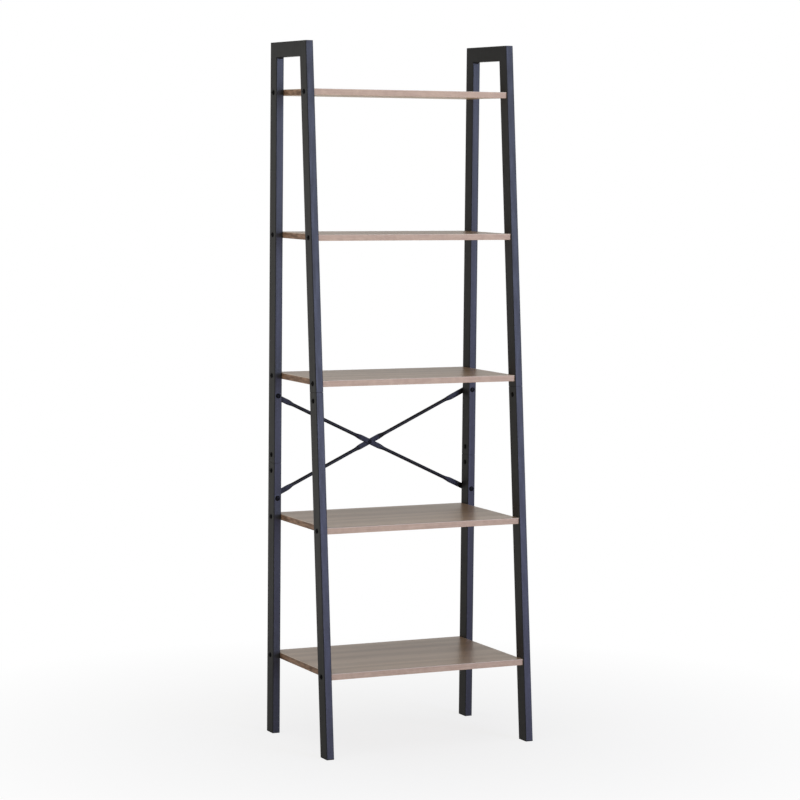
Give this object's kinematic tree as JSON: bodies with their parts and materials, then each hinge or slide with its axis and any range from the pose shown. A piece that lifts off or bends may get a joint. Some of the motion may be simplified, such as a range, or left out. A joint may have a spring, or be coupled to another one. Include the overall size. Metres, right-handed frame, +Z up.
{
  "type": "ladder shelf",
  "caption": "Free-standing ladder shelf with wood-grain boards between black steel side frames that taper towards the top, and a crossed brace behind.",
  "frame": {"origin": "middle of the footprint's bounding box, on the floor", "axes": "+X to the right seen from the front, +Y to the back, +Z up; the front of the shelf faces -Y"},
  "size_m": [0.5662, 0.381, 1.72],
  "materials": {
    "frame_paint": "black satin powder coat with a fine orange-peel texture",
    "brace_paint": "black satin powder coat on thin tube",
    "board": "greige wood-grain laminate, matt, grain along the length",
    "edge_band": "wood-print edge band, matt",
    "fastener_black": "black-coated steel, slightly glossy",
    "insert_steel": "zinc-plated",
    "sleeve_steel": "bare drawn steel",
    "foot_plastic": "black moulded polypropylene with a light texture"
  },
  "bodies": {
    "root": {"bottom_shelf": "board", "bottom_shelf_edging": "edge_band", "brace_bar_far": "brace_paint", "brace_bar_near": "brace_paint", "brace_bolts": "fastener_black", "brace_nuts": "fastener_black", "brace_rivet": "fastener_black", "joint_bolts": "fastener_black", "joint_nuts": "fastener_black", "left_front_foot": "foot_plastic", "left_front_lower_tube": "frame_paint", "left_front_sleeve": "sleeve_steel", "left_front_upper_tube": "frame_paint", "left_rear_foot": "foot_plastic", "left_rear_lower_tube": "frame_paint", "left_rear_sleeve": "sleeve_steel", "left_rear_upper_tube": "frame_paint", "left_shelf_bolts": "fastener_black", "left_top_bar": "frame_paint", "lower_shelf": "board", "lower_shelf_edging": "edge_band", "middle_shelf": "board", "middle_shelf_edging": "edge_band", "right_front_foot": "foot_plastic", "right_front_lower_tube": "frame_paint", "right_front_sleeve": "sleeve_steel", "right_front_upper_tube": "frame_paint", "right_rear_foot": "foot_plastic", "right_rear_lower_tube": "frame_paint", "right_rear_sleeve": "sleeve_steel", "right_rear_upper_tube": "frame_paint", "right_shelf_bolts": "fastener_black", "right_top_bar": "frame_paint", "shelf_inserts": "insert_steel", "top_shelf": "board", "top_shelf_edging": "edge_band", "upper_shelf": "board", "upper_shelf_edging": "edge_band"}
  },
  "joints": []
}
